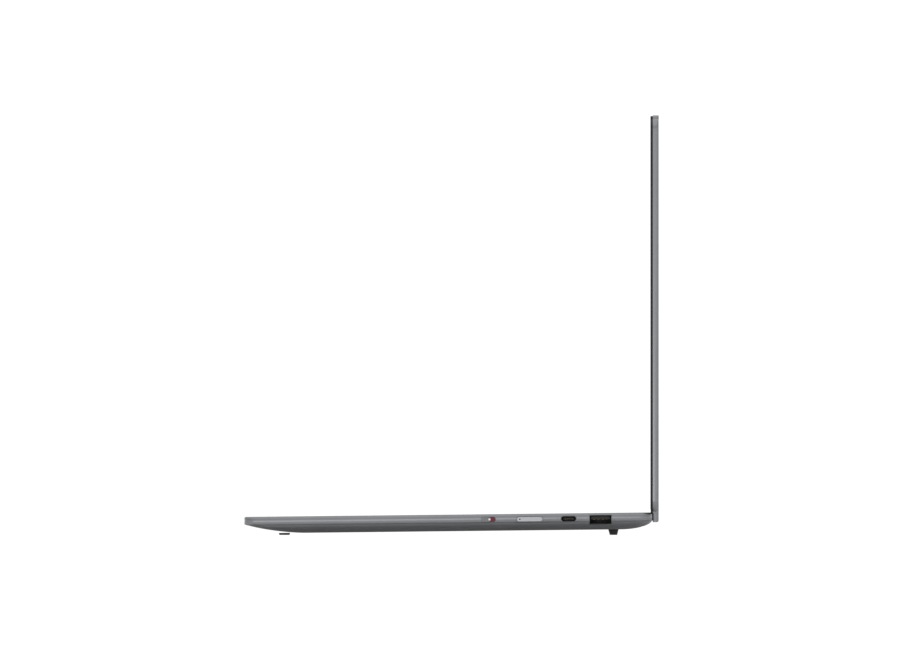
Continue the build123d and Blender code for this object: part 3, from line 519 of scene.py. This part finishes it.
# %% [markdown]
# A key cap is moulded plastic with a soft rim and a very shallow dish that centres the
# fingertip. It could be sculpted, but one slab says it all: its upright corners are
# bevelled, then its top rim, and then the top face is pulled in and down three times for
# the dish. Each step scales the face about its middle, so a short key gets the same dish.

# %% One key cap
cap_corner, cap_rim, cap_taper, full_key = 1.6, 0.3, 0.25, 15.6
dish_steps = ((0.7, 0.02), (2.0, 0.05), (3.2, 0.04))


def dish_share(size):
    """How much of the full dish a key of this size has."""
    return min(1.0, min(size.x, size.y) / full_key)


def key_cap(low, high):
    """One key cap with a soft rim and a dished top."""
    cap = rounded_slab(low, high, cap_corner, narrow=cap_taper)
    top = max(cap.faces, key=lambda face: face.calc_center_median().z)
    bmesh.ops.bevel(cap, geom=list(top.edges), offset=cap_rim, segments=3, profile=0.5,
                    affect="EDGES", material=-1)
    top = max(cap.faces, key=lambda face: face.calc_center_median().z)
    middle = (low + high) / 2
    size = high - low
    share = dish_share(size)
    for inward, down in dish_steps:
        top = bmesh.ops.extrude_discrete_faces(cap, faces=[top])["faces"][0]
        now = Vector([max(v.co[i] for v in top.verts) - min(v.co[i] for v in top.verts)
                      for i in range(2)])
        want = [size[i] - 2 * (cap_taper + cap_rim + inward * share) for i in range(2)]
        bmesh.ops.scale(cap, vec=(want[0] / now.x, want[1] / now.y, 1), verts=top.verts,
                        space=Matrix.Translation(-middle))
        bmesh.ops.translate(cap, vec=(0, 0, -down * share), verts=top.verts)
    return cap


# %% The caps of every group
for node, boxes in keys.items():
    caps = bmesh.new()
    for low, high in boxes:
        add_drawing(caps, key_cap(low, high))
    make_piece(node + "_caps", caps, deck, key_plastic, node, [node])
print("caps for", len(keys), "groups")

# %% [markdown]
# The letters are printed and then sealed by a laser. A font gives their outlines, and
# extruding those by a few hundredths of a millimetre makes each a thin solid that sits
# in the cap, so it moves with its key and never flickers against the plastic.

# %% What each key says
words = {
    "escape_key": ["esc"], "backspace_key": ["backspace"], "tab_key": ["tab"],
    "caps_lock_key": ["caps"], "enter_key": ["enter"], "left_shift_key": ["shift"],
    "right_shift_key": ["shift"], "space_bar": [""],
    "function_keys": ["F%d" % n for n in range(1, 13)] + ["print", "del"],
    "number_keys": ["~\n`", "!\n1", "@\n2", "#\n3", "$\n4", "%\n5", "^\n6", "&\n7", "*\n8",
                    "(\n9", ")\n0", "_\n-", "+\n="],
    "upper_letter_keys": list("QWERTYUIOP") + ["{\n[", "}\n]", "|\n\\"],
    "home_letter_keys": list("ASDFGHJKL") + [":\n;", "\"\n'"],
    "lower_letter_keys": list("ZXCVBNM") + ["<\n,", ">\n.", "?\n/"],
    "modifier_keys": ["ctrl", "fn", "menu", "alt", "alt", "ctrl"],
}
arrows = {"left_arrow_key": 90, "right_arrow_key": -90, "up_arrow_key": 0,
          "down_arrow_key": 180}
print(sum(len(row) for row in words.values()) + len(arrows), "legends, one of them blank")


# %% The shapes of words and arrows
def letter_size(word):
    """Cap height grows for single letters and shrinks for words, as on real keys."""
    return 4.4 if len(word) == 1 else 2.9 if "\n" in word else 2.7


def word_shape(word):
    """The flat shape of a word, centred, in millimetres."""
    text = bpy.data.curves.new("word", "FONT")
    text.body, text.size, text.resolution_u = word, letter_size(word), 2
    text.align_x, text.align_y, text.space_line = "CENTER", "CENTER", 1.05
    holder = bpy.data.objects.new("word", text)
    mesh = bpy.data.meshes.new_from_object(holder)
    shape = bmesh.new()
    shape.from_mesh(mesh)
    bpy.data.objects.remove(holder)
    bpy.data.meshes.remove(mesh)
    bpy.data.curves.remove(text)
    bmesh.ops.remove_doubles(shape, verts=shape.verts, dist=0.001)
    return shape


def arrow_shape(turn):
    """A small arrowhead that points the way the key moves the cursor."""
    shape = bmesh.new()
    bmesh.ops.create_circle(shape, cap_ends=True, segments=3, radius=1.3)
    bmesh.ops.rotate(shape, cent=(0, 0, 0), matrix=Matrix.Rotation(math.radians(turn), 3, "Z"),
                     verts=shape.verts)
    return shape


# %% The letters on the keys
letter_sink, letter_rise = 0.03, 0.025
for node, boxes in keys.items():
    letters = bmesh.new()
    for (low, high), word in zip(boxes, words.get(node, ["arrow"])):
        if not word:
            continue
        shape = arrow_shape(arrows[node]) if node in arrows else word_shape(word)
        dish_floor = high.z - sum(down for _, down in dish_steps) * dish_share(high - low)
        grown = bmesh.ops.extrude_face_region(shape, geom=shape.faces[:])["geom"]
        bmesh.ops.translate(shape, vec=(0, 0, letter_sink + letter_rise),
                            verts=[v for v in grown if isinstance(v, bmesh.types.BMVert)])
        bmesh.ops.recalc_face_normals(shape, faces=shape.faces)
        bmesh.ops.translate(shape, verts=shape.verts, vec=(
            (low.x + high.x) / 2, (low.y + high.y) / 2, dish_floor - letter_sink))
        add_drawing(letters, shape)
    if letters.faces:
        make_piece(node + "_letters", letters, deck, white_print, node)
    else:
        letters.free()
print("letters printed")

# %% [markdown]
# Between the keys runs a web of the same metal as the deck, sunk by a little over half a
# millimetre so that a closed screen never touches it. Each key has its own opening with
# a hair of room round it, and the up and down arrows share one. Cutting so many rounded
# holes is what a Boolean is for: the slabs of all the openings are one cutter, and the
# finished mesh has no modifier left on it. The slabs mustn't touch each other, or the
# cut comes out empty.

# %% A cut with a Boolean
def cut(block, cutter):
    """The first drawing less the second, by a Boolean modifier that is then applied."""
    holders = []
    for part in (block, cutter):
        mesh = bpy.data.meshes.new("part")
        part.to_mesh(mesh)
        part.free()
        holder = bpy.data.objects.new("part", mesh)
        bpy.context.scene.collection.objects.link(holder)
        holders.append(holder)
    less = holders[0].modifiers.new("less", "BOOLEAN")
    less.operation, less.solver, less.object = "DIFFERENCE", "EXACT", holders[1]
    seen = holders[0].evaluated_get(bpy.context.evaluated_depsgraph_get())
    mesh = bpy.data.meshes.new_from_object(seen)
    result = bmesh.new()
    result.from_mesh(mesh)
    bpy.data.meshes.remove(mesh)
    for holder in holders:
        mesh = holder.data
        bpy.data.objects.remove(holder)
        bpy.data.meshes.remove(mesh)
    return result


# %% The web between the keys
key_room, web_top, web_thickness, web_corner, well_room = 0.4, -0.6, 0.35, 2.4, 2.1
all_keys = [box for boxes in keys.values() for box in boxes]
well_low = Vector([min(low[i] for low, high in all_keys) for i in range(2)])
well_high = Vector([max(high[i] for low, high in all_keys) for i in range(2)])
# The up and down arrows are half keys that share one opening.
opening_boxes = [box for node, boxes in keys.items() for box in boxes
                 if node not in ("up_arrow_key", "down_arrow_key")]
opening_boxes.append((keys["down_arrow_key"][0][0], keys["up_arrow_key"][0][1]))
openings = bmesh.new()
for low, high in opening_boxes:
    add_drawing(openings, rounded_slab(
        (low.x - key_room, low.y - key_room, web_top - web_thickness - 1),
        (high.x + key_room, high.y + key_room, web_top + 1), cap_corner + key_room))
web = cut(rounded_slab(
    (well_low.x - well_room, well_low.y - well_room, web_top - web_thickness),
    (well_high.x + well_room, well_high.y + well_room, web_top), web_corner), openings)
print("the web has", len(web.faces), "faces")
make_piece("key_web", web, deck, case_metal, "base")
print("the web is", round(well_high.x - well_low.x + 2 * well_room, 2), "mm wide")

# %% [markdown]
# The speakers fire up through rows of small drilled holes at each end of the keyboard.
# The plate is flush with the deck and is the same metal. A picture of dots would do from
# far away, but real holes catch the light on their walls, so each is cut: staggered
# rows of eight-sided drills make one cutter.

# %% The speaker grilles
hole_radius, hole_pitch, hole_sides = 0.4, 1.25, 8
grille_margin, grille_inset, grille_corner = 0.75, 0.6, 2.5
grille_thickness, grille_width = 0.5, 9.3
speaker_boxes = islands("speakers")
speaker_low = Vector([min(low[i] for low, high in speaker_boxes) for i in range(3)])
speaker_high = Vector([max(high[i] for low, high in speaker_boxes) for i in range(3)])
row_pitch = hole_pitch * math.sqrt(3) / 2
for side, name in ((1, "right_speaker_grille"), (-1, "left_speaker_grille")):
    outer = speaker_high.x - grille_inset
    low = Vector((outer - grille_width, speaker_low.y + grille_inset, -grille_thickness))
    high = Vector((outer, speaker_high.y - grille_inset, 0))
    if side < 0:
        low.x, high.x = -high.x, -low.x
    drills = bmesh.new()
    rows = int((high.y - low.y - 2 * grille_margin) / row_pitch) + 1
    columns = int((high.x - low.x - 2 * grille_margin) / hole_pitch) + 1
    start_y = (low.y + high.y - (rows - 1) * row_pitch) / 2
    for row in range(rows):
        count = columns - row % 2
        start_x = (low.x + high.x - (count - 1) * hole_pitch) / 2
        for column in range(count):
            middle = Vector((start_x + column * hole_pitch, start_y + row * row_pitch, 0))
            bmesh.ops.create_cone(
                drills, cap_ends=True, segments=hole_sides, radius1=hole_radius,
                radius2=hole_radius, depth=4 * grille_thickness,
                matrix=Matrix.Translation(middle))
    grille = cut(rounded_slab(low, high, grille_corner), drills)
    make_piece(name, grille, deck, case_metal, "base")
    print(name, rows, "rows of", columns, "and", columns - 1)

# %% [markdown]
# A socket is a bright folded shell round a black moulding. The frame's solid has the
# shell and a plain tongue, so this adds the moulding: a wall at the back and a sleeve
# over the tongue, with a row of gold contacts on it. It hides the steel behind. Its black
# is partly real plastic and partly painted shade: it stands in for the shade deep inside
# the socket, which is why a socket looks dark from outside.

# %% A block with soft edges
def soft_block(x_ends, y_ends, z_ends, edge=0.05):
    """A block between those ends on each axis, its edges rounded by a hair."""
    low, high = (Vector([pick(ends) for ends in (x_ends, y_ends, z_ends)])
                 for pick in (min, max))
    block = bmesh.new()
    bmesh.ops.create_cube(block, size=1, matrix=Matrix.LocRotScale(
        (low + high) / 2, None, high - low))
    bmesh.ops.bevel(block, geom=block.edges[:], offset=edge, segments=2, profile=0.5,
                    affect="EDGES", material=-1)
    return block


# %% What is inside a socket
lining, contact_rise, wall_room = 0.06, 0.012, 0.35
wall_from_back, half_wall, contact_overhang, contact_end = 0.6, 0.3, 0.4, 2


def line_socket(name, box, side, tongue, contact_rows):
    """The black moulding and the contacts of one socket that opens to that side.
    tongue is its half width, lowest and highest point from the middle, and how far its
    front is behind the shell's; each contact row is a count, a width and up or down."""
    low, high = box
    middle_y, middle_z = (low.y + high.y) / 2, (low.z + high.z) / 2
    back, mouth = (low.x, high.x) if side > 0 else (high.x, low.x)
    back += side * wall_from_back
    half, bottom, top, behind = tongue
    front = mouth - side * behind
    # The black wall at the back is real plastic and also painted shade for the socket's depths.
    moulding = soft_block((back - side * half_wall, back + side * half_wall),
                          (low.y + wall_room, high.y - wall_room),
                          (low.z + wall_room, high.z - wall_room))
    add_drawing(moulding, soft_block(
        (back, front + side * lining),
        (middle_y - half - lining, middle_y + half + lining),
        (middle_z + bottom - lining, middle_z + top + lining)))
    make_piece(name + "_moulding", moulding, deck, black_plastic, "base")
    contacts = bmesh.new()
    for count, width, facing in contact_rows:
        level = middle_z + (top + lining if facing > 0 else bottom - lining)
        pitch = 2 * half / (count + 0.5)
        for step in range(count):
            across = middle_y + (step - (count - 1) / 2) * pitch
            add_drawing(contacts, soft_block(
                (front - side * contact_overhang, back + side * contact_end),
                (across - width / 2, across + width / 2),
                (level - contact_rise, level + contact_rise)))
    make_piece(name + "_contacts", contacts, deck, gold, "base")
    print(name, "has", sum(row[0] for row in contact_rows), "contacts")


# %% Every socket
type_c_tongue, type_c_rows = (3.1, -0.35, 0.35, 1.25), ((12, 0.25, 1), (12, 0.25, -1))
line_socket("right_type_c", islands("right_type_c_socket")[0], 1, type_c_tongue, type_c_rows)
line_socket("right_type_a", islands("right_type_a_socket")[0], 1,
            (5.45, 0.1, 1.9, 1.65), ((4, 1.1, -1),))
for number, box in enumerate(islands("left_type_c_sockets"), start=1):
    line_socket("left_type_c_%d" % number, box, -1, type_c_tongue, type_c_rows)
line_socket("left_video", islands("left_video_socket")[0], -1,
            (6.2, -0.7, 0.7, 1.65), ((10, 0.5, 1), (9, 0.5, -1)))

# %% [markdown]
# Two small things on the right side catch the eye: the power button has a smoked light
# window at its front end, and the shutter switch has a painted highlight at its rear end,
# a white dome that stands in for the glint there, next to the red that says the camera
# is on. Each is a shallow dome, spun from a short profile, because a flat disc would have
# no glint.

# %% A shallow dome
def dome(x, y, z, radius, rise, rings=4, sides=20):
    """A shallow dome on a wall that faces the right."""
    shape = bmesh.new()
    profile = [shape.verts.new((radius * math.cos(a), 0, rise * math.sin(a)))
               for a in [step * math.pi / 2 / rings for step in range(rings + 1)]]
    profile.insert(0, shape.verts.new((radius, 0, -rise)))
    profile.insert(0, shape.verts.new((0, 0, -rise)))
    edges = [shape.edges.new(pair) for pair in zip(profile, profile[1:])]
    bmesh.ops.spin(shape, geom=profile + edges, cent=(0, 0, 0), axis=(0, 0, 1),
                   angle=2 * math.pi, steps=sides, use_merge=True)
    bmesh.ops.remove_doubles(shape, verts=shape.verts, dist=0.0005)
    bmesh.ops.recalc_face_normals(shape, faces=shape.faces)
    bmesh.ops.rotate(shape, cent=(0, 0, 0), matrix=Matrix.Rotation(math.pi / 2, 3, "Y"),
                     verts=shape.verts)
    bmesh.ops.translate(shape, vec=(x, y, z), verts=shape.verts)
    return shape


# %% The light window and the painted highlight
button_low, button_high = islands("power_button")[0]
button_middle = (button_low.z + button_high.z) / 2
window_sink, window_from_end, window_radius = 0.02, 1.9, 0.46
make_piece("power_light_window",
           dome(button_high.x - window_sink, button_low.y + window_from_end, button_middle,
                window_radius, rise=0.06),
           deck, smoked_lens, "power_button")
switch_low, switch_high = islands("shutter_slider")[0]
switch_middle = (switch_low.z + switch_high.z) / 2
# The white dome on the switch is a painted highlight that stands in for its glint.
glint_from_end, glint_radius = 0.6, 0.58
make_piece("shutter_painted_glint",
           dome(switch_high.x, switch_high.y - glint_from_end, switch_middle, glint_radius, rise=0.1),
           deck, painted_glint_finish, "shutter_slider")
print("window", 2 * window_radius, "mm and dot", 2 * glint_radius, "mm across")

# %% [markdown]
# Between the lid's lower strip and the round nose of the base there would be a slit of
# daylight. On the real machine a black plastic fairing on the lid closes it: its inner
# face is hollow, a hair larger than the nose, so the nose turns inside it. Its outline
# is a short arc, and pushing that along the hinge makes the solid.

# %% The hinge fairing
nose_room, half_length, arc_steps = 3.6, 157.2, 12
fairing_low, fairing_top, fairing_front, lid_metal_front = -2.4, 4.2, 2.6, 3.8
fairing = bmesh.new()
low_angle = math.asin(fairing_low / nose_room)
high_angle = math.acos(fairing_front / nose_room)
arc = [fairing.verts.new((-half_length, nose_room * math.cos(a), nose_room * math.sin(a)))
       for a in [low_angle + (high_angle - low_angle) * step / arc_steps
                 for step in range(arc_steps + 1)]]
for y, z in ((fairing_front, fairing_top), (lid_metal_front, fairing_top),
             (lid_metal_front, arc[0].co.z)):
    arc.append(fairing.verts.new((-half_length, y, z)))
end = fairing.faces.new(arc)
grown = bmesh.ops.extrude_face_region(fairing, geom=[end])["geom"]
bmesh.ops.translate(fairing, vec=(2 * half_length, 0, 0),
                    verts=[v for v in grown if isinstance(v, bmesh.types.BMVert)])
bmesh.ops.recalc_face_normals(fairing, faces=fairing.faces)
make_piece("hinge_fairing", fairing, lid, black_plastic, "lid")
print("fairing", 2 * half_length, "mm long")

# %% [markdown]
# The cover's screws have a flat head with a six-lobed star in it. A ring of points makes
# the star: a wave round the ring moves them out and in six times. The head's top is the
# ring between the star and the rim, and the star's walls are pushed down into it.

# %% One star screw
head_radius, head_height, ring_points = 1.95, 0.7, 24
star_radius, star_wave, star_lobes, star_depth = 0.95, 0.14, 6, 0.35


def star_screw(x, y, underside):
    """A screw head that faces down, with a six-lobed star recess."""
    head = bmesh.new()
    star = bmesh.ops.create_circle(head, segments=ring_points, radius=star_radius)["verts"]
    for point in star:
        turn = math.atan2(point.co.y, point.co.x)
        point.co *= 1 + star_wave * math.cos(star_lobes * turn)
    star_edges = head.edges[:]
    rim = bmesh.ops.create_circle(head, segments=ring_points, radius=head_radius)["verts"]
    rim_edges = [e for e in head.edges if e.verts[0] in rim]
    bmesh.ops.bridge_loops(head, edges=star_edges + rim_edges)
    for edges, down in ((star_edges, star_depth), (rim_edges, head_height)):
        made = bmesh.ops.extrude_edge_only(head, edges=edges)["geom"]
        bmesh.ops.translate(head, vec=(0, 0, -down),
                            verts=[g for g in made if isinstance(g, bmesh.types.BMVert)])
        bmesh.ops.contextual_create(
            head, geom=[g for g in made if isinstance(g, bmesh.types.BMEdge)])
    bmesh.ops.recalc_face_normals(head, faces=head.faces)
    bmesh.ops.rotate(head, cent=(0, 0, 0), matrix=Matrix.Rotation(math.pi, 3, "X"),
                     verts=head.verts)
    bmesh.ops.translate(head, vec=(x, y, underside), verts=head.verts)
    return head


# %% The cover's screws
screws, screw_boxes = bmesh.new(), islands("bottom_screws")
for low, high in screw_boxes:
    add_drawing(screws, star_screw((low.x + high.x) / 2, (low.y + high.y) / 2, low.z))
make_piece("star_screws", screws, deck, screw_steel, "base",
           ["bottom_screws"], sharp=30)
print(len(screw_boxes), "screws")

# %% [markdown]
# At the top of the screen, under the small bar, sit the camera, its light and two
# microphone holes. They are behind the glass, so what shows is a ring printed on it with
# the lens in the middle, and three dots. Each is a dome of a few hundredths of a
# millimetre.

# %% The camera's window
camera_low, camera_high = (lid.inverted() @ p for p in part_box("camera_module"))
camera_z = (camera_low.z + camera_high.z) / 2
glass_front = (lid.inverted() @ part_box("display_glass")[0]).y
spots = (("camera_ring", 0, 1.9, 0.03, black_plastic),
         ("camera_lens", 0, 1.05, 0.06, smoked_lens),
         ("camera_light", 6.5, 0.45, 0.06, light_guide),
         ("left_microphone", -16, 0.4, 0.06, chip_resin),
         ("right_microphone", 16, 0.4, 0.06, chip_resin))
for name, x, radius, rise, finish in spots:
    spot = dome(0, 0, 0, radius, rise)
    bmesh.ops.rotate(spot, cent=(0, 0, 0), matrix=Matrix.Rotation(-math.pi / 2, 3, "Z"),
                     verts=spot.verts)
    bmesh.ops.translate(spot, vec=(x, glass_front, camera_z), verts=spot.verts)
    make_piece(name, spot, lid, finish, "lid")
print("camera window at", round(camera_z, 1), "mm above the hinge")

# %% [markdown]
# The laptop stands on one big square with a matt white finish. It glows faintly, as a lit
# table does, so that the shade under the laptop stays soft. It belongs to the studio and
# not to the laptop.

# %% The floor
floor_half_width, floor_glow = 3, 0.1
floor_paint, tree, shader = start_finish("lit_white_floor", "#e6e6e6", 0.8,
                                         Emission_Strength=floor_glow)
shader.inputs["Emission Color"].default_value = linear("#ffffff")
ground = bmesh.new()
bmesh.ops.create_grid(ground, x_segments=1, y_segments=1, size=floor_half_width)
floor_mesh = bpy.data.meshes.new("floor")
ground.to_mesh(floor_mesh)
ground.free()
floor_mesh.materials.append(floor_paint)
floor = bpy.data.objects.new("floor", floor_mesh)
bpy.context.scene.collection.objects.link(floor)
print("floor", 2 * floor_half_width, "m wide")

# %% [markdown]
# Round it stands a white tent. Metal shows mostly what it reflects, so the tent isn't one
# even white: it is bright at the horizon, dims a little way up, and brightens again
# overhead, which gives a curved wall its light and dark bands. The front and back are a
# little darker than the sides. All of it is a few sums on the direction of the light.

# %% The tent
studio = bpy.data.worlds.new("studio")
bpy.context.scene.world = studio
studio.use_nodes = True
room = studio.node_tree
backdrop = room.nodes["Background"]
backdrop.inputs["Strength"].default_value = 1.0
looking = add_node(room, "ShaderNodeTexCoord")
axes = add_node(room, "ShaderNodeSeparateXYZ", links={"Vector": looking.outputs["Generated"]})
haze = add_node(room, "ShaderNodeMapRange", {"From Max": 0.45, "To Min": 1.05, "To Max": 0.74},
                {"Value": axes.outputs["Z"]}, interpolation_type="SMOOTHSTEP")
overhead = add_node(room, "ShaderNodeMapRange",
                    {"From Min": 0.4, "From Max": 1.0, "To Min": 0.0, "To Max": 0.7},
                    {"Value": axes.outputs["Z"]}, interpolation_type="SMOOTHSTEP")
sky = add_node(room, "ShaderNodeMath",
               links={0: haze.outputs["Result"], 1: overhead.outputs["Result"]},
               operation="ADD")
sideways = add_node(room, "ShaderNodeMath", {1: 2.0}, {0: axes.outputs["X"]}, operation="POWER")
sides = add_node(room, "ShaderNodeMapRange", {"To Min": 0.75, "To Max": 1.0},
                 {"Value": sideways.outputs[0]})
light = add_node(room, "ShaderNodeMath",
                 links={0: sky.outputs[0], 1: sides.outputs["Result"]},
                 operation="MULTIPLY")
room.links.new(light.outputs[0], backdrop.inputs["Color"])
print("tent of", len(room.nodes), "nodes")

# %% [markdown]
# A long low lamp on each side, close to the floor, lifts the lower half of the side
# walls. The lamps are hidden from the camera, and light linking keeps them off the floor,
# where lamps so low would draw a hot white stripe.

# %% Two low lamps
lamp_length, lamp_width, lamp_power = 0.6, 0.04, 0.21
lamp_away, lamp_y, lamp_height = 0.8, -0.2, 0.024
unlit_by_lamps = bpy.data.collections.new("unlit_by_low_lamps")
unlit_by_lamps.objects.link(floor)
unlit_by_lamps.collection_objects[0].light_linking.link_state = "EXCLUDE"
for side in (1, -1):
    strip = bpy.data.lights.new("low_strip_light", "AREA")
    strip.shape, strip.size, strip.size_y = "RECTANGLE", lamp_length, lamp_width
    strip.energy = lamp_power
    lamp = bpy.data.objects.new("low_strip_light", strip)
    bpy.context.scene.collection.objects.link(lamp)
    facing = Matrix(((0, 0, side, 0), (side, 0, 0, 0), (0, 1, 0, 0), (0, 0, 0, 1)))
    lamp.matrix_world = Matrix.Translation((side * lamp_away, lamp_y, lamp_height)) @ facing
    lamp.visible_camera = False
    lamp.light_linking.receiver_collection = unlit_by_lamps
bpy.context.scene.view_settings.view_transform = "Standard"
print("lamps", lamp_away, "m to each side")
